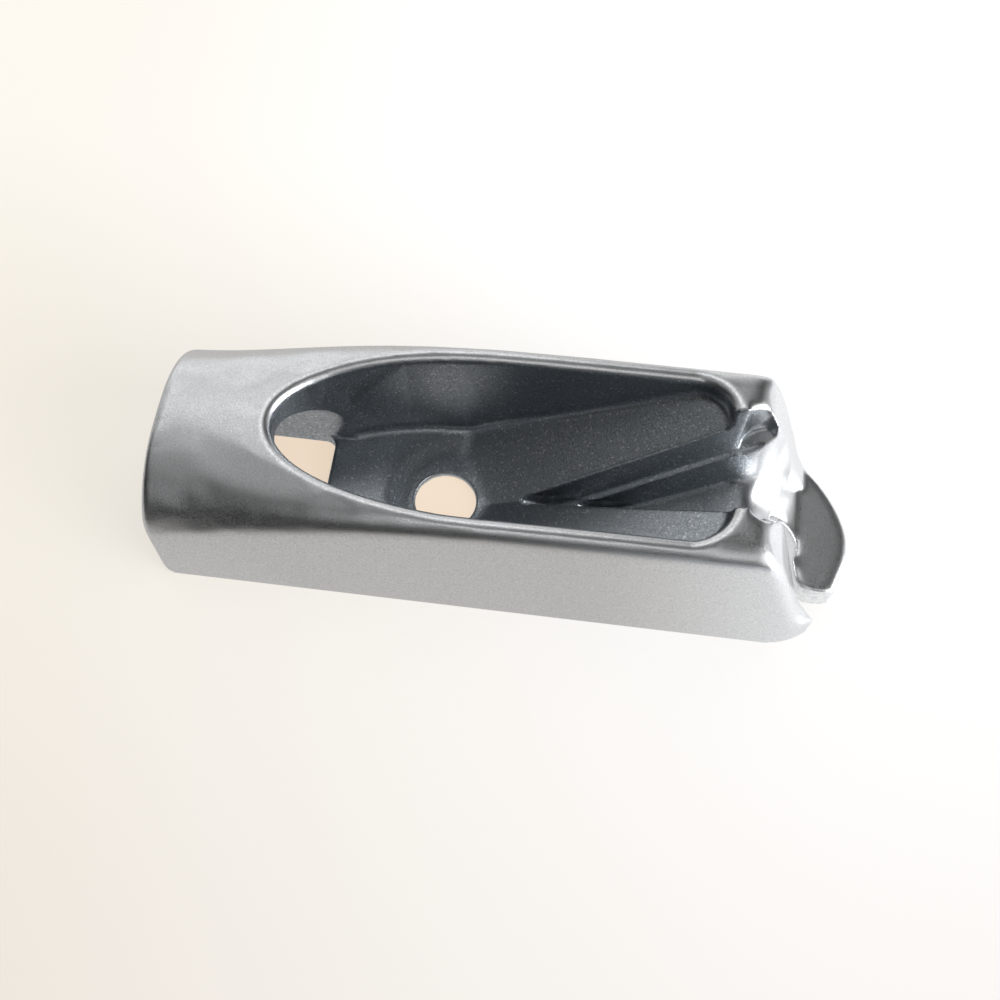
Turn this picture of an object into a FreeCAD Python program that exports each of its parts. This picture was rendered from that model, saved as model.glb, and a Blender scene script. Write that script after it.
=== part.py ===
import FreeCAD, Part
import math
import os

# Jam cleat cast in one piece: rope tunnel, ribbed V channel and open end hook.
# X runs from the tunnel end to the hook, Z is up, the origin is the floor hole's centre at the base.
# All lengths are in millimetres.

os.makedirs("parts", exist_ok=True)
Vec = FreeCAD.Vector
diagonal = math.sqrt(0.5)

# Outer body
tunnel_end_x = -26.1
tunnel_corner = 2.0
tunnel_end_round = 0.7
base_half = 10.73
flank_lean = 0.06
crown_rise = 0.35

# The rope trough keeps a wall inside the flanks; the tunnel and the dish keep a margin inside the trough
wall = 2.78
trough_half = base_half - wall
tunnel_margin = 2.62
tunnel_half = trough_half - tunnel_margin
dish_margin = 0.35
dish_top_r = trough_half - dish_margin
dish_slope = 2.2
dish_low_r = dish_top_r - dish_slope

# Reach of the cutting solids beyond the body
start_x = tunnel_end_x - 4.0
far_x = 44.0
wide = 1.4 * base_half
sky_z = 24.0
below = 1.0
spare = 0.02
near = 0.1

# Evenly spaced stations along X: height of the flat flank, height of the top,
# and how far the top reaches out before the shoulder begins, as a share of the trough's half width
station_x = (-28.0, -22.0, -16.0, -10.0, -3.0, 4.0, 12.0, 20.0, 28.0, 36.0, 44.0)
flank_height = (3.4, 5.4, 7.6, 9.6, 11.4, 12.4, 12.85, 13.1, 13.2, 13.2, 13.2)
top_height = (12.3, 12.35, 12.6, 13.1, 13.85, 14.3, 14.6, 14.8, 15.0, 15.0, 15.0)
crown_share = (0.054, 0.227, 0.5, 0.774, 0.886, 0.916, 0.913, 0.911, 0.91, 0.91, 0.91)

# End of the walls seen from the side, from the wall top down to the hook plate
wall_end = [(26.4, 15.6), (28.3, 14.7), (29.9, 12.8), (31.0, 10.6), (31.9, 8.4), (32.8, 6.2),
            (33.6, 4.4), (34.5, 3.2), (35.6, 2.2), (37.5, 1.2), (41.0, 0.5)]
wall_end_round = 1.2

# Nose of the base seen from above: x, and y as a share of the half width
nose_x = 38.9
nose_start_x = 31.7
wall_end_stop_x = 33.0
nose_bow = [(33.3, 0.867), (34.2, 0.736), (35.8, 0.578), (37.2, 0.401), (38.3, 0.196), (nose_x, -0.037),
            (38.5, -0.298), (37.5, -0.541), (36.1, -0.783), (34.3, -0.918)]

# Rope trough above the treads
deck_z = 1.5
trough_end_x = 25.4
trough_end_round = 3.7
mouth_tip_x = -15.6
mouth_root_x = 4.0
rim_round = 0.8
floor_round = 3.0
foot_round = 0.9

# Tunnel and the window in its floor
tunnel_top_z = 9.7
tunnel_spring_z = 4.6
tunnel_inner_x = -9.0
window_x0 = -19.5
window_x1 = -11.7
window_corner = 1.2

# Floor hole and the dish round it
hole_r = 3.0
land_z = 0.75
dish_x = 1.7

# Top tread: a plane rising toward the hook and outward from the channel
tread_x = 10.98
tread_y = 1.13
tread_z = 4.61
tread_rise = 0.513
tread_tilt = 0.276

# Ribs: each jaw face leans outward with height, and the lower one stands a ledge further in
face_lean = 0.29
face_spread = 0.0476
rib_drop = 2.85
rib_ledge = 0.316
rib_start_x = (7.9, 13.2)
rib_start_r = 0.5

# Floor under the upper groove, seen from the side
channel_floor_z = 1.2
upper_floor = [(5.0, 2.8), (6.6, 2.35), (8.2, 1.7), (10.3, channel_floor_z), (14.0, channel_floor_z),
               (30.0, channel_floor_z), (46.0, channel_floor_z)]

# Blind end of the upper groove
pocket_x = 28.1
pocket_y = 3.8
pocket_z = 8.0
pocket_r = 1.45
pocket_top_r = 2.1

# Saddle floor of the lower channel: a shared start, then one way out for each distance from the middle
channel_start = [(11.0, 3.6), (12.4, 2.6), (13.7, 1.9), (15.2, 1.55), (17.0, 2.2), (20.0, 3.67), (24.0, 5.6)]
channel_exit = {
    0.0: [(26.5, 6.75), (28.0, 7.0), (29.5, 6.2), (31.0, 4.9), (32.2, 3.8), (33.4, 3.15), (37.0, 3.0)],
    4.0: [(26.5, 6.9), (28.0, 7.7), (29.5, 8.7), (31.0, 8.5), (32.2, 5.6), (33.4, 3.4), (37.0, 2.6)],
    8.5: [(26.5, 7.1), (28.0, 8.3), (29.5, 9.8), (31.0, 10.6), (32.2, 8.0), (33.4, 5.2), (37.0, 3.0)],
}
flare_x = 28.0
flare_r = 3.3

# Hook: its plate, its eye and the gap between its tip and the near foot
hook_top_z = 3.0
hook_root_x = 31.2
hook_round = 0.65
eye_x = 31.5
eye_y = -1.7
eye_r = 2.3
eye_cut_x = 30.9
gap_tip = [(33.3, -2.6), (33.6, -4.2), (34.1, -5.6), (35.3, -6.15), (37.0, -6.1), (40.0, -5.9)]
gap_foot = [(40.0, -10.4), (37.8, -9.6), (36.2, -8.95), (34.8, -8.25), (33.3, -7.4), (31.8, -6.2),
            (eye_cut_x, -4.2)]


def spline(points, start=None, end=None):
    """Smooth curve through the points, with end directions where they are given."""
    curve = Part.BSplineCurve()
    through = [Vec(*p) for p in points]
    if start is None:
        curve.interpolate(through)
    else:
        curve.interpolate(Points=through, InitialTangent=Vec(*start), FinalTangent=Vec(*end))
    return curve.toShape()


def flat(points):
    """Points of a plan drawn at Z = 0."""
    return [(x, y, 0) for x, y in points]


def segment(a, b):
    return Part.makeLine(Vec(*a), Vec(*b))


def closed(edges):
    return Part.Wire(Part.__sortEdges__(edges))


def prism(edges, z0, z1):
    """Upright solid over a plan drawn at Z = 0."""
    face = Part.Face(closed(edges))
    face.translate(Vec(0, 0, z0))
    return face.extrude(Vec(0, 0, z1 - z0))


def quarter(a, corner, b):
    """Quarter of an ellipse from a to b, tangent to the two lines that meet at the corner."""
    curve = Part.BSplineCurve()
    curve.buildFromPolesMultsKnots([a, corner, b], [3, 3], [0, 1], False, 2, [1, diagonal, 1])
    return curve.toShape()


def edges_where(shape, test):
    """Edges whose every sample point passes the test."""
    return [edge for edge in shape.Edges if all(test(p) for p in edge.discretize(5))]


def body_section(x, flank_z, top_z, share):
    """Leaning flanks, half-round shoulders and a slightly raised top, from just below the base."""
    y0 = base_half + flank_lean * below
    y1 = base_half - flank_lean * flank_z
    y2 = share * trough_half
    crown_z = top_z + crown_rise * y2 / 8.0
    edges = [segment((x, -y0, -below), (x, y0, -below)),
             segment((x, y0, -below), (x, y1, flank_z)),
             quarter(Vec(x, y1, flank_z), Vec(x, y1, top_z), Vec(x, y2, top_z)),
             Part.Arc(Vec(x, y2, top_z), Vec(x, 0, crown_z), Vec(x, -y2, top_z)).toShape(),
             quarter(Vec(x, -y2, top_z), Vec(x, -y1, top_z), Vec(x, -y1, flank_z)),
             segment((x, -y1, flank_z), (x, -y0, -below))]
    return Part.Wire(edges)


def above_profile(points):
    """Space above a smooth profile drawn in XZ."""
    curve = spline([(x, 0, z) for x, z in points])
    x0, z0 = points[0]
    x1, z1 = points[-1]
    sides = [segment((x1, 0, z1), (x1, 0, sky_z)),
             segment((x1, 0, sky_z), (x0, 0, sky_z)),
             segment((x0, 0, sky_z), (x0, 0, z0))]
    face = Part.Face(Part.Wire([curve] + sides))
    face.translate(Vec(0, -wide, 0))
    return face.extrude(Vec(0, 2 * wide, 0))


def above_tread(drop):
    """Space above the two tread planes, which meet in a valley, lowered by the drop."""
    x0 = window_x0
    y1 = wide - 2 * near
    z0 = tread_z + tread_rise * (x0 - tread_x) - tread_tilt * tread_y - drop
    z1 = z0 + tread_tilt * y1
    z2 = 3 * sky_z
    corners = [Vec(x0, 0, z0), Vec(x0, y1, z1), Vec(x0, y1, z2), Vec(x0, -y1, z2), Vec(x0, -y1, z1)]
    face = Part.Face(Part.makePolygon(corners + corners[:1]))
    return face.extrude(Vec(far_x - x0, 0, tread_rise * (far_x - x0)))


def bow_edge():
    """Bowed nose seen from above, running into both flanks without a corner."""
    side_y = base_half + spare
    bow = [(x, share * base_half) for x, share in nose_bow]
    bow = [(nose_start_x, side_y)] + bow + [(nose_start_x, -side_y)]
    return spline(flat(bow), (1, 0, 0), (-1, 0, 0))


def base_outline():
    """Plan of the whole casting: round tunnel corners, straight flanks and the bowed nose."""
    side_y = base_half + spare
    back_x = tunnel_end_x + tunnel_corner
    back_y = side_y - tunnel_corner
    edges = [bow_edge(),
             segment((tunnel_end_x, -back_y, 0), (tunnel_end_x, back_y, 0))]
    for side in (1, -1):
        middle = Vec(back_x - tunnel_corner * diagonal, side * (back_y + tunnel_corner * diagonal), 0)
        ends = Vec(tunnel_end_x, side * back_y, 0), Vec(back_x, side * side_y, 0)
        edges.append(Part.Arc(ends[0], middle, ends[1]).toShape())
        edges.append(segment((back_x, side * side_y, 0), (nose_start_x, side * side_y, 0)))
    return edges


def on_wall_end(p):
    """True for a point of the wall end profile away from the channel."""
    for (xa, za), (xb, zb) in zip(wall_end, wall_end[1:]):
        if xa <= p.x <= xb:
            z = za + (zb - za) * (p.x - xa) / (xb - xa)
            return abs(p.y) > trough_half - wall_end_round and abs(p.z - z) < 3.5 * near
    return False


def on_tunnel_end(p):
    return p.x < tunnel_end_x + tunnel_corner + near and p.z > near * near


def outer_form():
    """Loaf with slanted wall ends, bowed nose and rounded ends."""
    rows = zip(station_x, flank_height, top_height, crown_share)
    loaf = Part.makeLoft([body_section(*row) for row in rows], True, False)
    loaf = loaf.cut(above_profile(wall_end))
    form = loaf.common(prism(base_outline(), 0, sky_z))
    wall_edges = [edge for edge in edges_where(form, on_wall_end) if edge.CenterOfMass.x < wall_end_stop_x]
    form = form.makeFillet(tunnel_end_round, edges_where(form, on_tunnel_end))
    return form.makeFillet(wall_end_round, wall_edges)


def trough_floor():
    """Space above the treads, the floor and the dish, their creases softened."""
    floor = Part.makeBox(far_x - start_x, 2 * wide, sky_z, Vec(start_x, -wide, deck_z))
    dish = Part.makeCone(dish_low_r, dish_top_r, deck_z - land_z, Vec(dish_x, 0, land_z))
    dish = dish.fuse(Part.makeCylinder(dish_top_r, sky_z, Vec(dish_x, 0, deck_z)))
    space = above_tread(0).common(floor.fuse(dish)).Solids[0]
    reach = dish_top_r + near
    creases = edges_where(space, lambda p: abs(p.x) < reach and abs(p.y) < reach and p.z < deck_z + near)
    return space.makeFillet(floor_round, creases)


def trough():
    """Rope trough: teardrop mouth, parallel walls, round corners, and a rounded foot all round."""
    round_x = trough_end_x - trough_end_round
    round_y = trough_half - trough_end_round
    middle = Vec(round_x + trough_end_round * diagonal, round_y + trough_end_round * diagonal, 0)
    tip = Vec(mouth_tip_x, 0, 0)
    half_plan = [quarter(tip, tip + Vec(0, trough_half, 0), Vec(mouth_root_x, trough_half, 0)),
                 segment((mouth_root_x, trough_half, 0), (round_x, trough_half, 0)),
                 Part.Arc(Vec(round_x, trough_half, 0), middle, Vec(trough_end_x, round_y, 0)).toShape()]
    other_half = [edge.mirror(Vec(0, 0, 0), Vec(0, 1, 0)) for edge in half_plan]
    across = segment((trough_end_x, round_y, 0), (trough_end_x, -round_y, 0))
    plan = prism(half_plan + [across] + other_half, 0, sky_z)
    space = plan.common(trough_floor()).Solids[0]
    middle_x = 0.5 * (mouth_root_x + round_x)
    foot_z = tread_z + tread_rise * (middle_x - tread_x) + tread_tilt * (trough_half - tread_y)
    feet = []
    for y in (-trough_half, trough_half):
        at = Vec(middle_x, y, foot_z)
        feet.append(min(space.Edges, key=lambda edge: (edge.CenterOfMass - at).Length))
    return space.makeFillet(foot_round, feet)


def tunnel():
    """Straight rope tunnel with flat floor and elliptical roof."""
    x0 = start_x
    top = Vec(x0, 0, tunnel_top_z)
    edges = [segment((x0, -tunnel_half, deck_z), (x0, tunnel_half, deck_z))]
    for y in (tunnel_half, -tunnel_half):
        edges.append(segment((x0, y, deck_z), (x0, y, tunnel_spring_z)))
        edges.append(quarter(Vec(x0, y, tunnel_spring_z), Vec(x0, y, tunnel_top_z), top))
    return Part.Face(closed(edges)).extrude(Vec(tunnel_inner_x - x0, 0, 0))


def window():
    deep = deck_z + 2 * below
    box = Part.makeBox(window_x1 - window_x0, 2 * tunnel_half, deep, Vec(window_x0, -tunnel_half, -below))
    return box.makeFillet(window_corner, [edge for edge in box.Edges if edge.BoundBox.ZLength > 0.9 * deep])


def face_half(level, x, z):
    """Half width between the jaw faces of one level at x and height z."""
    return tread_y - level * rib_ledge + face_spread * (x - tread_x) + face_lean * (z - tread_z)


def jaw_plan(level, z, flared):
    """Plan of the space between two jaw faces at height z, from its round start to its end."""
    x0 = rib_start_x[level]
    x1 = flare_x
    w0 = face_half(level, x0, z)
    w1 = face_half(level, x1, z)
    start = Part.Arc(Vec(x0, w0, z), Vec(x0 - w0, 0, z), Vec(x0, -w0, z)).toShape()
    edges = [start, segment((x0, w0, z), (x1, w1, z)), segment((x0, -w0, z), (x1, -w1, z))]
    if not flared:
        return closed(edges + [segment((x1, w1, z), (x1, -w1, z))])
    c = flare_r * diagonal
    x2 = x1 + flare_r
    w2 = w1 + flare_r
    for side in (1, -1):
        middle = Vec(x1 + c, side * (w2 - c), z)
        edges.append(Part.Arc(Vec(x1, side * w1, z), middle, Vec(x2, side * w2, z)).toShape())
        edges.append(segment((x2, side * w2, z), (far_x, side * w2, z)))
    return closed(edges + [segment((far_x, w2, z), (far_x, -w2, z))])


def jaw_space(level, flared):
    """Leaning faces above the height where the start is narrowest, straight walls below it."""
    z0 = tread_z - (face_half(level, rib_start_x[level], tread_z) - rib_start_r) / face_lean
    low = jaw_plan(level, z0, flared)
    high = jaw_plan(level, sky_z, flared)
    foot = Part.Face(low).extrude(Vec(0, 0, -z0))
    return Part.makeLoft([low, high], True, True).fuse(foot)


def upper_groove():
    """Space between the upper jaw faces with its two blind pockets, cut down to the lower rib."""
    space = jaw_space(0, False)
    for side in (1, -1):
        at = Vec(pocket_x, side * pocket_y, pocket_z)
        space = space.fuse(Part.makeCone(pocket_r, pocket_top_r, sky_z - pocket_z, at))
    return space.common(above_tread(rib_drop)).common(above_profile(upper_floor))


def lower_channel():
    """Space between the lower jaw faces, flared toward the hook, above a saddle floor."""
    wires = []
    for y in [-far for far in sorted(channel_exit, reverse=True)] + sorted(channel_exit)[1:]:
        points = [(x, y, z) for x, z in channel_start + channel_exit[abs(y)]]
        x0 = points[0][0]
        x1 = points[-1][0]
        sides = [segment(points[-1], (x1, y, sky_z)),
                 segment((x1, y, sky_z), (x0, y, sky_z)),
                 segment((x0, y, sky_z), points[0])]
        wires.append(Part.Wire([spline(points)] + sides))
    return jaw_space(1, True).common(Part.makeLoft(wires, True, False))


def hook_opening():
    """Eye behind the hook and the gap that leaves the hook's tip free."""
    eye = Part.makeCylinder(eye_r, sky_z, Vec(eye_x, eye_y, -2 * below))
    eye = eye.common(Part.makeBox(far_x, 2 * wide, 2 * sky_z, Vec(eye_cut_x, -wide, -3 * below)))
    tip = flat(gap_tip)
    foot = flat(gap_foot)
    edges = [spline(tip), segment(tip[-1], foot[0]), spline(foot), segment(foot[-1], tip[0])]
    return eye.fuse(prism(edges, -2 * below, 0.5 * sky_z))


def hook_plate(opening):
    """Flat hook, its outer upper edge rounded."""
    box = Part.makeBox(far_x, 2 * (base_half - near), hook_top_z, Vec(hook_root_x, near - base_half, 0))
    plate = prism(base_outline(), 0, hook_top_z).common(box).cut(opening)
    plate = max(plate.Solids, key=lambda solid: solid.BoundBox.XMax)
    bow = bow_edge()
    bow.translate(Vec(0, 0, hook_top_z))
    top_edges = edges_where(plate, lambda p: bow.distToShape(Part.Vertex(p))[0] < near * near)
    return plate.makeFillet(hook_round, top_edges)


# Trough first, so that its rim is rounded before the ribs are cut
body = outer_form().cut(trough())
rim_middle = Vec(0.5 * (mouth_root_x + trough_end_x - trough_end_round), -trough_half, max(top_height))
rim_seed = min(body.Edges, key=lambda edge: (edge.CenterOfMass - rim_middle).Length)
body = body.makeFillet(rim_round, [rim_seed])
body = body.cut(tunnel())
body = body.cut(window())
body = body.cut(Part.makeCylinder(hole_r, sky_z, Vec(0, 0, -below)))
body = body.cut(upper_groove())
body = body.cut(lower_channel())
body = body.cut(hook_opening())
body = body.fuse(hook_plate(hook_opening()))
print("cleat_body", body.isValid(), len(body.Solids), round(body.Volume, 1))
body.exportStep("parts/cleat_body.step")
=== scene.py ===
import bpy
import bmesh
import numpy as np
from math import cos, sin, radians
from mathutils import Matrix, Vector


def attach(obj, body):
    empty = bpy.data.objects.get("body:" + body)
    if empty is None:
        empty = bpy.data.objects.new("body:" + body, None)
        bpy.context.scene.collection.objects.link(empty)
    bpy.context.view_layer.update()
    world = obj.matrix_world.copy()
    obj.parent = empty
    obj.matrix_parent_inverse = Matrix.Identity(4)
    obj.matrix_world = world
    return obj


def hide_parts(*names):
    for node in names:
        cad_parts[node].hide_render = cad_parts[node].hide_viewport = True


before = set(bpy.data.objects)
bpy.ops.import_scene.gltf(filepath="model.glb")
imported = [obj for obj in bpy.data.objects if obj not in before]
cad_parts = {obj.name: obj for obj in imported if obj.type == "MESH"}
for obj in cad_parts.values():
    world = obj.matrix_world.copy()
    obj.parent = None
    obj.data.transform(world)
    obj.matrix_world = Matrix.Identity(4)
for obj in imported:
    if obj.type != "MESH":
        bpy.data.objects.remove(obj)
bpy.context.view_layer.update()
print("frame loaded:", sorted(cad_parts))
mm = 0.001


def newTree(name, kind, inputs, outputs):
    tree = bpy.data.node_groups.new(name, kind)
    for label, socket, value in inputs:
        item = tree.interface.new_socket(name=label, in_out="INPUT", socket_type=socket)
        if value is not None:
            item.default_value = value
    for label, socket in outputs:
        tree.interface.new_socket(name=label, in_out="OUTPUT", socket_type=socket)
    return tree


def addNode(tree, kind, values=None, **settings):
    node = tree.nodes.new(kind)
    for key, value in settings.items():
        setattr(node, key, value)
    for key, value in (values or {}).items():
        node.inputs[key].default_value = value
    return node


def wire(tree, source, target):
    tree.links.new(source, target)


grainGroup = newTree("castGrain", "ShaderNodeTree", [
    ("Grain Size", "NodeSocketFloat", 0.2),  # mm, one grain of the cast skin
    ("Grain Depth", "NodeSocketFloat", 0.5),
    ("Skin Size", "NodeSocketFloat", 2.5),  # mm, slow waves of the skin
    ("Skin Depth", "NodeSocketFloat", 0.3),
    ("Metal", "NodeSocketColor", (0.6, 0.61, 0.62, 1)),
    ("Shade", "NodeSocketColor", (0.4, 0.4, 0.41, 1)),
    ("Glint Fleck", "NodeSocketFloat", 0.5),
], [
    ("Colour", "NodeSocketColor"),
    ("Roughness", "NodeSocketFloat"),
    ("Height", "NodeSocketFloat"),
])


def buildGrain(tree, polish):
    given = addNode(tree, "NodeGroupInput")
    result = addNode(tree, "NodeGroupOutput")
    place = addNode(tree, "ShaderNodeTexCoord")

    def perSize(socket):  # noise scale for a size in mm
        over = addNode(tree, "ShaderNodeMath", {0: 1.0 / mm}, operation="DIVIDE")
        wire(tree, given.outputs[socket], over.inputs[1])
        return over.outputs[0]

    grain = addNode(tree, "ShaderNodeTexNoise", {"Detail": 3.0, "Roughness": 0.6})
    wire(tree, place.outputs["Object"], grain.inputs["Vector"])
    wire(tree, perSize("Grain Size"), grain.inputs["Scale"])
    skin = addNode(tree, "ShaderNodeTexNoise", {"Detail": 2.0, "Roughness": 0.5})
    wire(tree, place.outputs["Object"], skin.inputs["Vector"])
    wire(tree, perSize("Skin Size"), skin.inputs["Scale"])
    facets = addNode(tree, "ShaderNodeTexVoronoi", {"Randomness": 1.0}, feature="F1")
    wire(tree, place.outputs["Object"], facets.inputs["Vector"])
    wire(tree, perSize("Grain Size"), facets.inputs["Scale"])

    # colour: grain between the metal and its shade, rare pale flecks on top as painted glints
    spread = addNode(tree, "ShaderNodeMapRange", {"From Min": 0.3, "From Max": 0.62}, clamp=True)
    wire(tree, grain.outputs["Fac"], spread.inputs["Value"])
    metal = addNode(tree, "ShaderNodeMix", data_type="RGBA")
    wire(tree, spread.outputs["Result"], metal.inputs[0])
    wire(tree, given.outputs["Shade"], metal.inputs[6])
    wire(tree, given.outputs["Metal"], metal.inputs[7])
    pick = addNode(tree, "ShaderNodeSeparateColor")
    wire(tree, facets.outputs["Color"], pick.inputs[0])
    rare = addNode(tree, "ShaderNodeMapRange", {"From Min": 0.93, "From Max": 0.97}, clamp=True)
    wire(tree, pick.outputs[0], rare.inputs["Value"])
    amount = addNode(tree, "ShaderNodeMath", operation="MULTIPLY")
    wire(tree, rare.outputs["Result"], amount.inputs[0])
    wire(tree, given.outputs["Glint Fleck"], amount.inputs[1])
    flecked = addNode(tree, "ShaderNodeMix", {7: polish["glintColour"]}, data_type="RGBA")
    wire(tree, amount.outputs[0], flecked.inputs[0])
    wire(tree, metal.outputs[2], flecked.inputs[6])
    wire(tree, flecked.outputs[2], result.inputs["Colour"])

    # roughness: polished high grains, duller hollows
    gloss = addNode(tree, "ShaderNodeMapRange", {"From Min": 0.3, "From Max": 0.7,
                    "To Min": polish["dull"], "To Max": polish["bright"]}, clamp=True)
    wire(tree, grain.outputs["Fac"], gloss.inputs["Value"])
    wire(tree, gloss.outputs["Result"], result.inputs["Roughness"])

    # height: grain and slow skin together
    high = addNode(tree, "ShaderNodeMath", operation="MULTIPLY")
    wire(tree, grain.outputs["Fac"], high.inputs[0])
    wire(tree, given.outputs["Grain Depth"], high.inputs[1])
    slow = addNode(tree, "ShaderNodeMath", operation="MULTIPLY_ADD")
    wire(tree, skin.outputs["Fac"], slow.inputs[0])
    wire(tree, given.outputs["Skin Depth"], slow.inputs[1])
    wire(tree, high.outputs[0], slow.inputs[2])
    wire(tree, slow.outputs[0], result.inputs["Height"])


grainPolish = {
    # the pale flecks are painted glints of sparkle on the grain
    "glintColour": (0.95, 0.96, 0.97, 1),
    "dull": 0.42,
    "bright": 0.27,
}
buildGrain(grainGroup, grainPolish)


def grainSkin(tree, cfg):
    grain = addNode(tree, "ShaderNodeGroup", node_tree=grainGroup)
    for key, value in cfg.items():
        grain.inputs[key].default_value = value
    return grain


def readMask(tree, name):
    return addNode(tree, "ShaderNodeAttribute", attribute_name=name).outputs["Fac"]


def blendValue(tree, factor, first, second):
    node = addNode(tree, "ShaderNodeMix", data_type="FLOAT")
    for source, index in ((factor, 0), (first, 2), (second, 3)):
        if isinstance(source, (int, float)):
            node.inputs[index].default_value = source
        else:
            wire(tree, source, node.inputs[index])
    return node.outputs[0]


def blendColour(tree, kind, factor, first, second):
    node = addNode(tree, "ShaderNodeMix", data_type="RGBA", blend_type=kind)
    for source, index in ((factor, 0), (first, 6), (second, 7)):
        if isinstance(source, (int, float, tuple)):
            node.inputs[index].default_value = source
        else:
            wire(tree, source, node.inputs[index])
    return node.outputs[2]


def castMaterial(name, outer, shadedInner, cfg):
    material = bpy.data.materials.new(name)
    material.use_nodes = True
    tree = material.node_tree
    shader = tree.nodes["Principled BSDF"]
    shader.inputs["Metallic"].default_value = 1.0
    first = grainSkin(tree, outer)
    second = grainSkin(tree, shadedInner)
    # this mask lays the darker, bluer inner skin over the trough, jaw and tunnel as painted shade, together
    # with its coarser grain
    coarseShadedInside = readMask(tree, "coarseShadedInside")
    # convex edges turn lighter and glossier: rubbed wear, and a painted highlight along the crests of the jaw
    wornSheen = addNode(tree, "ShaderNodeMath", {1: cfg["wearAndEdgeSheen"]}, operation="MULTIPLY")
    wire(tree, readMask(tree, "wearAndEdgeSheen"), wornSheen.inputs[0])
    colour = blendColour(tree, "MIX", coarseShadedInside, first.outputs["Colour"], second.outputs["Colour"])
    colour = blendColour(tree, "MIX", wornSheen.outputs[0], colour, cfg["wornSheenColour"])
    rough = blendValue(tree, coarseShadedInside, first.outputs["Roughness"], second.outputs["Roughness"])
    rough = blendValue(tree, wornSheen.outputs[0], rough, cfg["wornRoughness"])
    height = blendValue(tree, coarseShadedInside, first.outputs["Height"], second.outputs["Height"])
    bump = addNode(tree, "ShaderNodeBump", {"Strength": cfg["bump"], "Distance": cfg["depth"] * mm})
    wire(tree, colour, shader.inputs["Base Color"])
    wire(tree, rough, shader.inputs["Roughness"])
    wire(tree, height, bump.inputs["Height"])
    wire(tree, bump.outputs["Normal"], shader.inputs["Normal"])
    return material


# lit and shaded copies of one cast metal: the outer skin is lightened as painted light, and the inner skin of
# the trough, jaw and tunnel is darker and bluer as painted shade, with a coarser grain
litOuterSkin = {"Grain Size": 0.16, "Grain Depth": 0.35, "Skin Size": 3.0, "Skin Depth": 0.8,
             "Metal": (0.86, 0.87, 0.88, 1), "Shade": (0.68, 0.69, 0.70, 1), "Glint Fleck": 0.3}
shadedInnerSkin = {"Grain Size": 0.17, "Grain Depth": 0.9, "Skin Size": 2.2, "Skin Depth": 1.0,
             "Metal": (0.44, 0.47, 0.50, 1), "Shade": (0.24, 0.265, 0.29, 1), "Glint Fleck": 0.45}
# the hook tip's face: a rough grain, made nearly white as a painted reflection of the bright floor
gateSheenSkin = {"Grain Size": 0.35, "Grain Depth": 1.2, "Skin Size": 1.0, "Skin Depth": 1.5,
            "Metal": (0.92, 0.92, 0.92, 1), "Shade": (0.72, 0.73, 0.74, 1), "Glint Fleck": 0.5}
castFinish = {"wearAndEdgeSheen": 0.75, "wornSheenColour": (0.90, 0.91, 0.92, 1), "wornRoughness": 0.3,
              "bump": 0.5, "depth": 0.06}
gateSheenFinish = {"wearAndEdgeSheen": 0.3, "wornSheenColour": (0.90, 0.91, 0.92, 1), "wornRoughness": 0.3,
              "bump": 0.6, "depth": 0.1}
castMetal = castMaterial("castSkin", litOuterSkin, shadedInnerSkin, castFinish)
gateSheenMetal = castMaterial("brokenGateSheen", gateSheenSkin, gateSheenSkin, gateSheenFinish)
print("materials ready")

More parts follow.
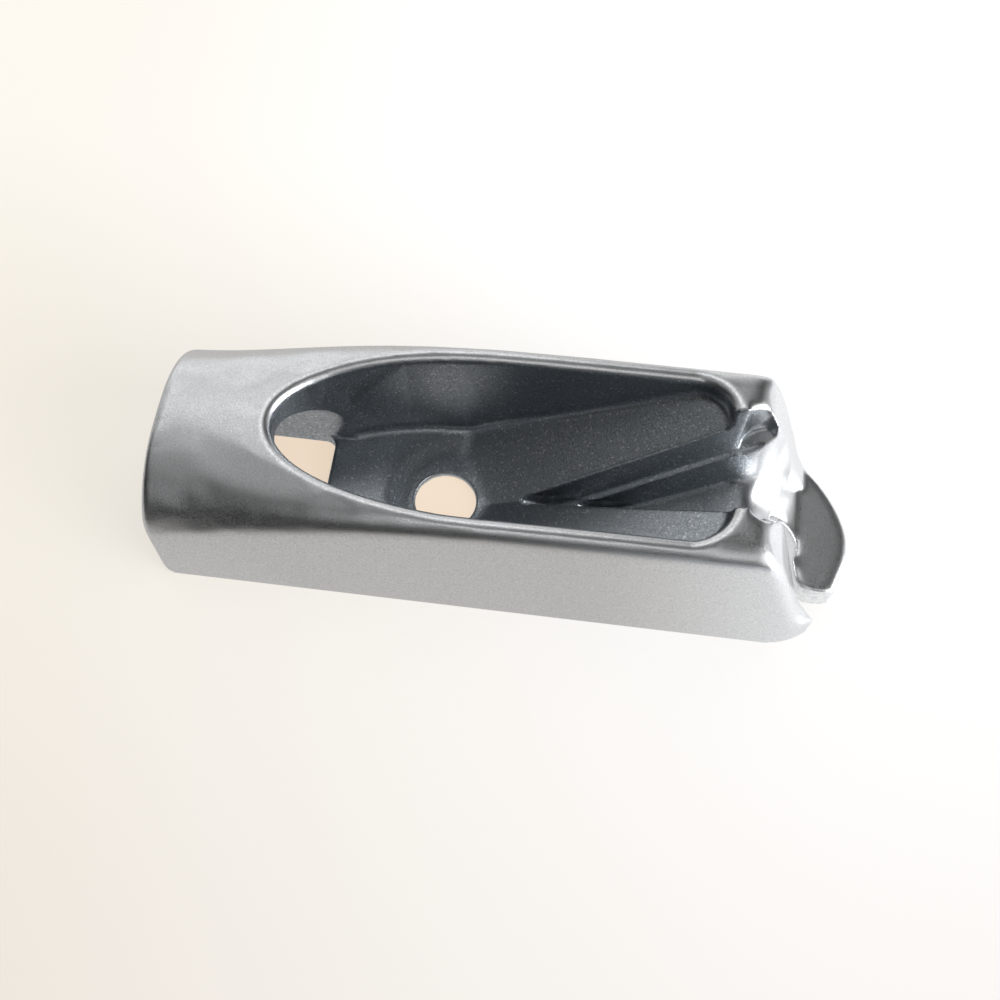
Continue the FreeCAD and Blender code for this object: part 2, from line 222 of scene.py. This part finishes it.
casting = {
    "mergeDistance": 0.004,  # mm, joins the loose triangles of the copy
    "cell": 0.17,  # mm, the copy is rebuilt from cells of this size, so that its edges can be rounded
    "softFactor": 0.5,
    "softSteps": 3,
    "loafSteps": 110,  # the outer skin away from its edges
    "rootSteps": 26,  # round the hook
    "saddleSteps": 70,  # where the channel runs out over the hook's root
    "keptShare": 0.42,
    # mouth of the trough in mm: tip x, x where it is widest, half width,
    # x and radius of its end corners, end x
    "mouth": {"tip": -15.6, "wide": 4.0, "half": 7.95, "cornerFrom": 21.7, "corner": 3.7, "end": 25.4},
    "tunnel": {"until": -9.0, "half": 5.45, "top": 9.8},
    # height of the wall tops along x in mm
    "crown": ((-22.0, -16.0, -10.0, -3.0, 4.0, 12.0, 20.0, 28.0),
              (12.35, 12.6, 13.1, 13.85, 14.3, 14.6, 14.8, 15.0)),
    # the jaw: half width between its faces at a point, how it grows along x and z, and the pockets
    "jaw": {"half": 1.35, "spread": 0.048, "lean": 0.29, "x": 11.0, "z": 4.61,
            "pocket": 1.9, "pocketX": 28.1, "pocketY": 3.8,
            "soft": (0.0, 0.15), "start": (7.0, 8.0), "end": (30.0, 27.0)},
    # where a smoothing or a skin fades in: each pair goes from none to full, lengths in mm
    "loaf": {"mouth": (-1.1, -1.9), "height": (1.2, 2.0), "back": (-25.2, -24.4), "front": (28.9, 28.1),
             "roof": 0.5},
    "root": {"x": (29.6, 30.6), "height": (0.2, 0.6)},
    "saddle": {"x": (30.4, 31.4), "until": (35.5, 34.5), "side": (8.6, 7.6), "height": (3.1, 3.8)},
    "trough": {"mouth": (-0.40, -0.10), "height": (0.2, 0.5)},
    "rim": {"upward": (0.3, 0.65), "mouth": (0.5, 0.1), "overCrown": (-1.3, -0.7)},
    # in the tunnel the inner skin with its painted shade starts above the base height below
    "base": 0.2,  # mm, in the tunnel the skin below this is the outer one
    # lighter convex edges, rubbed wear and a painted crest highlight: convexity range, and the share outside
    # the trough
    "wornSheen": {"edge": (0.10, 0.30), "outside": 0.25},
    # the hook tip's face chosen below gets the pale skin, a painted reflection of the bright floor
    "gateNormal": -0.8,  # the broken gate faces -Y at least this squarely
    "gateFrom": (34.0, -6.4, -4.9),  # mm, x from, y low, y high of the broken gate on the hook's tip
    # the near foot is drawn out to a smooth toe, from its point to the flank: y, x of the edge in the
    # frame's mesh, read off it and rounded, and the new x
    "toe": {
        "edge": ((-8.73, 35.75, 35.9), (-9.0, 35.2, 35.6), (-9.4, 34.58, 35.1), (-9.65, 34.35, 34.75),
                 (-9.82, 34.3, 34.45), (-10.0, 34.38, 34.1), (-10.2, 34.6, 33.7), (-10.36, 34.75, 33.35),
                 (-10.52, 34.74, 32.8), (-10.6, 34.5, 32.5), (-10.66, 34.2, 32.2), (-10.7, 33.8, 32.0),
                 (-10.73, 33.1, 31.7)),
        "from": 30.0,
        "full": 2.0,
        "gone": 4.5,
    },
    # the hook's tip is level with its plate: x where it starts, y low, y high, height, slope behind
    "hook": {"start": 33.6, "low": -6.7, "high": -2.0, "level": 3.0, "slope": 4.0},
}


def toeShift(x, y, z, cfg):
    side, present, drawn = np.array(cfg["edge"]).T
    if x < cfg["from"] or z > cfg["gone"] or y > side[0]:
        return x
    before = np.interp(-y, -side, present)
    after = np.interp(-y, -side, drawn)
    share = min(1.0, (cfg["gone"] - z) / (cfg["gone"] - cfg["full"]))
    stretch = 1.0 + share * ((after - cfg["from"]) / (before - cfg["from"]) - 1.0)
    return cfg["from"] + (x - cfg["from"]) * stretch


def hookLevel(x, y, z, cfg):
    if cfg["low"] < y < cfg["high"]:
        return min(z, cfg["level"] + cfg["slope"] * max(0.0, cfg["start"] - x))
    return z


def dress(bm, cfg):
    for vert in bm.verts:
        x, y, z = vert.co / mm
        vert.co.x = toeShift(x, y, z, cfg["toe"]) * mm
        vert.co.z = hookLevel(x, y, z, cfg["hook"]) * mm


def copyOfNode(name, cfg):
    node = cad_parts[name]
    mesh = node.data.copy()
    mesh.name = "castingMesh"
    bm = bmesh.new()
    bm.from_mesh(mesh)
    bm.transform(node.matrix_world)
    bmesh.ops.remove_doubles(bm, verts=bm.verts, dist=cfg["mergeDistance"] * mm)
    dress(bm, cfg)
    bmesh.ops.dissolve_degenerate(bm, edges=bm.edges, dist=cfg["mergeDistance"] * mm)
    bmesh.ops.triangulate(bm, faces=bm.faces)
    bm.to_mesh(mesh)
    bm.free()
    return mesh


def step(low, high, value):
    t = np.clip((value - low) / (high - low), 0.0, 1.0)
    return t * t * (3.0 - 2.0 * t)


def inMouth(x, y, cfg):
    side = np.abs(y)
    oval = cfg["half"] * (1.0 - np.hypot((x - cfg["wide"]) / (cfg["wide"] - cfg["tip"]), side / cfg["half"]))
    corner = cfg["corner"] - np.hypot(x - cfg["cornerFrom"], side - (cfg["half"] - cfg["corner"]))
    ends = np.where(side > cfg["half"] - cfg["corner"], corner, cfg["end"] - x)
    return np.where(x < cfg["wide"], oval, np.where(x < cfg["cornerFrom"], cfg["half"] - side, ends))


def inTunnel(x, y, z, cfg):
    return (x < cfg["until"]) & (np.abs(y) < cfg["half"]) & (z < cfg["top"])


def inJaw(x, y, z, cfg):
    side = np.abs(y)
    faces = cfg["half"] + cfg["spread"] * (x - cfg["x"]) + cfg["lean"] * (z - cfg["z"]) - side
    pocket = cfg["pocket"] - np.hypot(x - cfg["pocketX"], side - cfg["pocketY"])
    return step(*cfg["soft"], np.maximum(faces, pocket)) * step(*cfg["end"], x) * step(*cfg["start"], x)


def places(mesh):
    spots = np.empty(len(mesh.vertices) * 3)
    mesh.vertices.foreach_get("co", spots)
    return spots.reshape(-1, 3) / mm


def addGroup(piece, name, weights):
    group = piece.vertex_groups.new(name=name)
    levels = np.round(weights * 10).astype(int)
    for level in range(1, 11):
        group.add([int(i) for i in np.nonzero(levels == level)[0]], level / 10, "REPLACE")


def evaluated(piece, name):
    view = bpy.context.evaluated_depsgraph_get()
    mesh = bpy.data.meshes.new_from_object(piece.evaluated_get(view))
    mesh.name = name
    bpy.data.objects.remove(piece)
    return mesh


def loose(mesh):
    piece = bpy.data.objects.new("work", mesh)
    bpy.context.scene.collection.objects.link(piece)
    return piece


def softened(mesh, cfg):
    raw = loose(mesh)
    even = raw.modifiers.new("even", "REMESH")
    even.mode = "VOXEL"
    even.voxel_size = cfg["cell"] * mm
    cells = loose(evaluated(raw, "cells"))
    x, y, z = places(cells.data).T
    loaf, root, saddle = cfg["loaf"], cfg["root"], cfg["saddle"]
    outer = step(*loaf["mouth"], inMouth(x, y, cfg["mouth"])) * step(*loaf["height"], z)
    outer = outer * step(*loaf["back"], x) * step(*loaf["front"], x)
    addGroup(cells, "loaf", np.where(inTunnel(x, y, z - loaf["roof"], cfg["tunnel"]), 0.0, outer))
    addGroup(cells, "root", step(*root["x"], x) * step(*root["height"], z))
    length = step(*saddle["x"], x) * step(*saddle["until"], x)
    addGroup(cells, "saddle", length * step(*saddle["side"], np.abs(y)) * step(*saddle["height"], z))
    for name, steps, group in (("soft", "softSteps", ""), ("loaf", "loafSteps", "loaf"),
                               ("root", "rootSteps", "root"), ("saddle", "saddleSteps", "saddle")):
        soft = cells.modifiers.new(name, "SMOOTH")
        soft.factor = cfg["softFactor"]
        soft.iterations = cfg[steps]
        soft.vertex_group = group
    lighter = cells.modifiers.new("lighter", "DECIMATE")
    lighter.ratio = cfg["keptShare"]
    result = evaluated(cells, "castingMesh")
    result.materials.clear()
    for material in (castMetal, gateSheenMetal):
        result.materials.append(material)
    piece = bpy.data.objects.new("casting", result)
    bpy.context.scene.collection.objects.link(piece)
    return piece


def setMask(mesh, name, values):
    mask = mesh.attributes.new(name, "FLOAT", "POINT")
    mask.data.foreach_set("value", values.astype(np.float32))


def convexity(mesh, spots):
    ends = np.empty(len(mesh.edges) * 2, dtype=np.int32)
    mesh.edges.foreach_get("vertices", ends)
    one, two = ends.reshape(-1, 2).T
    normals = np.empty(len(mesh.vertices) * 3)
    mesh.vertices.foreach_get("normal", normals)
    total = np.zeros_like(spots)
    count = np.zeros(len(spots))
    reach = np.zeros(len(spots))
    gap = spots[two] - spots[one]
    length = np.linalg.norm(gap, axis=1)
    for near, sign in ((one, 1.0), (two, -1.0)):
        np.add.at(total, near, sign * gap)
        np.add.at(count, near, 1.0)
        np.add.at(reach, near, length)
    return -(total * normals.reshape(-1, 3)).sum(axis=1) / np.maximum(reach, 1e-9)


def onRim(mesh, x, y, z, cfg):
    normals = np.empty(len(mesh.vertices) * 3)
    mesh.vertices.foreach_get("normal", normals)
    rim = cfg["rim"]
    near = step(*rim["upward"], normals[2::3]) * step(*rim["mouth"], inMouth(x, y, cfg["mouth"]))
    return near * step(*rim["overCrown"], z - np.interp(x, *cfg["crown"]))


def paintMasks(mesh, cfg):
    spots = places(mesh)
    x, y, z = spots.T
    # painted shade: the trough, the jaw and the tunnel's inside get the darker inner skin, and the lit rim is
    # kept out of it
    trough = step(*cfg["trough"]["mouth"], inMouth(x, y, cfg["mouth"])) * step(*cfg["trough"]["height"], z)
    trough = trough * (1.0 - onRim(mesh, x, y, z, cfg))
    coarseShadedInside = np.maximum(trough, inJaw(x, y, z, cfg["jaw"]))
    coarseShadedInside = np.where(inTunnel(x, y, z, cfg["tunnel"]) & (z > cfg["base"]), 1.0, coarseShadedInside)
    # lighter edges, rubbed wear and a painted highlight along the crests: full inside the trough, a share
    # outside
    outside = cfg["wornSheen"]["outside"]
    wearAndEdgeSheen = step(*cfg["wornSheen"]["edge"], convexity(mesh, spots)) * (outside + (1.0 - outside) * coarseShadedInside)
    setMask(mesh, "coarseShadedInside", coarseShadedInside)
    setMask(mesh, "wearAndEdgeSheen", wearAndEdgeSheen)


cast = softened(copyOfNode("cleat_body", casting), casting)
paintMasks(cast.data, casting)
# the hook tip's face takes the pale skin, a painted reflection of the bright floor
gateX, gateLow, gateHigh = casting["gateFrom"]
for face in cast.data.polygons:
    x, y, z = face.center / mm
    face.material_index = int(x > gateX and gateLow < y < gateHigh and face.normal.y < casting["gateNormal"])
    face.use_smooth = True
print("casting copied:", len(cast.data.polygons), "faces")
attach(cast, "root")
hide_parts("cleat_body")

floorCfg = {
    "half": 0.9,  # m
    "drop": 0.00002,
    "paint": (0.93, 0.91, 0.88, 1),
    "glowShare": 0.7,
    # colour seen by the camera, darker and warmer to the left as painted light falloff: left, right and their
    # x in mm
    "seen": {"left": (0.84, 0.78, 0.67, 1), "right": (1.04, 1.04, 1.04, 1), "from": -60, "to": 45},
    # the same further back and in front, along y in mm: lighter behind as painted light, darker toward the
    # front as painted shade
    "back": {"tint": (1.12, 1.14, 1.20, 1), "from": 8, "to": 48},
    "front": {"tint": (0.85, 0.82, 0.80, 1), "from": 5, "to": -55},
    # painted shadow, warm beige: the table under the casting, seen through its openings: colour, x and half y
    # of its edges, soft edge
    "under": {"colour": (1.06, 0.86, 0.66, 1), "from": -21, "to": 6, "half": 7.5, "soft": 2},
    # glow seen in the metal, a painted reflection of the floor: near the casting, a painted window light
    # added on the window's side, gone in front of it
    "near": (0.60, 0.58, 0.56, 1),
    "window": (0.50, 0.53, 0.56, 1),
    "windowFrom": 12, "windowTo": 50,
    "frontFrom": -20, "frontTo": -70,
}


def makeFloor(cfg):
    h = cfg["half"]
    mesh = bpy.data.meshes.new("floorMesh")
    z = -cfg["drop"]
    mesh.from_pydata([(-h, -h, z), (h, -h, z), (h, h, z), (-h, h, z)], [], [(0, 1, 2, 3)])
    plane = bpy.data.objects.new("floor", mesh)
    bpy.context.scene.collection.objects.link(plane)
    material = bpy.data.materials.new("paleFloor")
    material.use_nodes = True
    tree = material.node_tree
    tree.nodes.remove(tree.nodes["Principled BSDF"])
    place = addNode(tree, "ShaderNodeTexCoord")
    axes = addNode(tree, "ShaderNodeSeparateXYZ")
    wire(tree, place.outputs["Object"], axes.inputs[0])

    def fade(axis, start, end):
        node = addNode(tree, "ShaderNodeMapRange", {"From Min": start * mm, "From Max": end * mm},
                       interpolation_type="SMOOTHSTEP", clamp=True)
        wire(tree, axes.outputs[axis], node.inputs["Value"])
        return node.outputs["Result"]

    # painted light on the floor: the camera's colour falls off to the left and the front and rises to the
    # back
    seen = blendColour(tree, "MIX", fade("X", cfg["seen"]["from"], cfg["seen"]["to"]),
                       cfg["seen"]["left"], cfg["seen"]["right"])
    back, front = cfg["back"], cfg["front"]
    behind = blendColour(tree, "MIX", fade("Y", back["from"], back["to"]), (1.0, 1.0, 1.0, 1), back["tint"])
    before = blendColour(tree, "MIX", fade("Y", front["to"], front["from"]),
                         front["tint"], (1.0, 1.0, 1.0, 1))
    seen = blendColour(tree, "MULTIPLY", 1.0, seen, behind)
    seen = blendColour(tree, "MULTIPLY", 1.0, seen, before)
    # painted shadow: under the casting the table turns warm beige where the camera sees it through the
    # openings
    under = cfg["under"]
    underShadowMask = None
    for axis, edge, inward in (("X", under["from"], 1), ("X", under["to"], -1),
                               ("Y", -under["half"], 1), ("Y", under["half"], -1)):
        side = fade(axis, edge, edge + inward * under["soft"])
        if underShadowMask is None:
            underShadowMask = side
            continue
        both = addNode(tree, "ShaderNodeMath", operation="MULTIPLY")
        wire(tree, underShadowMask, both.inputs[0])
        wire(tree, side, both.inputs[1])
        underShadowMask = both.outputs[0]
    seen = blendColour(tree, "MIX", underShadowMask, seen, under["colour"])
    # painted reflection: the floor glows in the metal, brighter on the window's side
    near = blendColour(tree, "MIX", fade("Y", cfg["frontTo"], cfg["frontFrom"]), (0, 0, 0, 1), cfg["near"])
    paintedReflectionGlow = blendColour(tree, "ADD", fade("X", cfg["windowFrom"], cfg["windowTo"]), near, cfg["window"])
    path = addNode(tree, "ShaderNodeLightPath")
    shade = blendColour(tree, "MIX", path.outputs["Is Camera Ray"], paintedReflectionGlow, seen)
    glow = addNode(tree, "ShaderNodeEmission", {"Strength": 1.0})
    wire(tree, shade, glow.inputs["Color"])
    paint = addNode(tree, "ShaderNodeBsdfDiffuse", {"Color": cfg["paint"]})
    direct = addNode(tree, "ShaderNodeMath", operation="MAXIMUM")
    wire(tree, path.outputs["Is Glossy Ray"], direct.inputs[0])
    wire(tree, path.outputs["Is Transmission Ray"], direct.inputs[1])
    share = addNode(tree, "ShaderNodeMath", {1: cfg["glowShare"]}, operation="MULTIPLY_ADD")
    wire(tree, path.outputs["Is Camera Ray"], share.inputs[0])
    wire(tree, direct.outputs[0], share.inputs[2])
    blend = addNode(tree, "ShaderNodeMixShader")
    wire(tree, share.outputs[0], blend.inputs[0])
    wire(tree, paint.outputs[0], blend.inputs[1])
    wire(tree, glow.outputs[0], blend.inputs[2])
    wire(tree, blend.outputs[0], tree.nodes["Material Output"].inputs["Surface"])
    mesh.materials.append(material)
    return plane


floor = makeFloor(floorCfg)
print("floor ready")

# Soft lights of the room, added to its walls: azimuth from the hook's side, elevation, and reach
# from the middle of the light to where it is gone, in degrees, then its strength
room = {
    "walls": (0.01, 0.01, 0.01, 1),
    "fill": (0.95, 0.95, 0.95, 1),  # plain light on matt surfaces
    "lights": {
        "window": (340, 12, 36, 7.5),
        "windowEdge": (20, 12, 36, 0.3),
        "overWindow": (320, 40, 36, 0.35),
        "backWall": (100, 12, 36, 0.7),
        "leftWall": (140, 12, 36, 0.5),
        "backCeiling": (120, 40, 36, 0.3),
        "leftCeiling": (180, 65, 34, 0.3),
        "stripFront": (262, 43, 22, 1.0),
        "stripBack": (105, 58, 20, 1.3),
    },
    "backdrop": (1.0, 0.985, 0.96, 1),
}


def lightGroup():
    tree = newTree("softLight", "ShaderNodeTree", [
        ("Under", "NodeSocketColor", (0.0, 0.0, 0.0, 1)),
        ("Light", "NodeSocketColor", (1, 1, 1, 1)),
        ("Toward", "NodeSocketVector", (0, 0, 1)),
        ("Reach", "NodeSocketFloat", 0.8),
    ], [("Colour", "NodeSocketColor")])
    given = addNode(tree, "NodeGroupInput")
    result = addNode(tree, "NodeGroupOutput")
    sky = addNode(tree, "ShaderNodeTexCoord")
    lean = addNode(tree, "ShaderNodeVectorMath", operation="DOT_PRODUCT")
    wire(tree, sky.outputs["Generated"], lean.inputs[0])
    wire(tree, given.outputs["Toward"], lean.inputs[1])
    fade = addNode(tree, "ShaderNodeMapRange", {"From Max": 1.0}, interpolation_type="SMOOTHSTEP", clamp=True)
    wire(tree, lean.outputs["Value"], fade.inputs["Value"])
    wire(tree, given.outputs["Reach"], fade.inputs["From Min"])
    wire(tree, blendColour(tree, "ADD", fade.outputs["Result"], given.outputs["Under"],
                           given.outputs["Light"]), result.inputs["Colour"])
    return tree


def lightRoom(cfg):
    world = bpy.data.worlds.new("studioRoom")
    bpy.context.scene.world = world
    world.use_nodes = True
    tree = world.node_tree
    group = lightGroup()
    base = addNode(tree, "ShaderNodeRGB")
    base.outputs[0].default_value = cfg["walls"]
    last = base.outputs[0]
    for name, (azimuth, elevation, reach, strength) in cfg["lights"].items():
        around, rise = radians(azimuth), radians(elevation)
        light = addNode(tree, "ShaderNodeGroup", node_tree=group)
        light.label = name
        light.inputs["Toward"].default_value = (cos(around) * cos(rise), sin(around) * cos(rise), sin(rise))
        light.inputs["Reach"].default_value = cos(radians(reach))
        light.inputs["Light"].default_value = (strength, strength, strength, 1)
        wire(tree, last, light.inputs["Under"])
        last = light.outputs["Colour"]
    path = addNode(tree, "ShaderNodeLightPath")
    filled = blendColour(tree, "MIX", path.outputs["Is Diffuse Ray"], last, cfg["fill"])
    shown = blendColour(tree, "MIX", path.outputs["Is Camera Ray"], filled, cfg["backdrop"])
    wire(tree, shown, tree.nodes["Background"].inputs["Color"])


lightRoom(room)
bpy.context.scene.view_settings.view_transform = "Standard"
print("lights ready")

viewpoint = {
    "elevation": 62.21,  # degrees above the floor
    "yaw": 2.67,
    "roll": 4.29,
    "distance": 108.79,  # mm from the floor hole
    "aside": 5.37,  # mm to the right and up in the picture
    "upward": 0.33,
    "lens": 39.6,
}


def placeCamera(cfg):
    yaw, tilt, roll = (radians(cfg[key]) for key in ("yaw", "elevation", "roll"))
    back = Vector((sin(yaw) * cos(tilt), -cos(yaw) * cos(tilt), sin(tilt)))
    level = Vector((cos(yaw), sin(yaw), 0))
    rise = back.cross(level)
    right = cos(roll) * level + sin(roll) * rise
    up = -sin(roll) * level + cos(roll) * rise
    spot = (back * cfg["distance"] + right * cfg["aside"] + up * cfg["upward"]) * mm
    data = bpy.data.cameras.new("viewCamera")
    data.lens = cfg["lens"]
    data.sensor_width = 36
    data.clip_start = 0.002
    camera = bpy.data.objects.new("viewCamera", data)
    bpy.context.scene.collection.objects.link(camera)
    camera.matrix_world = Matrix.Translation(spot) @ Matrix((right, up, back)).transposed().to_4x4()
    bpy.context.scene.camera = camera


placeCamera(viewpoint)
print("camera placed")
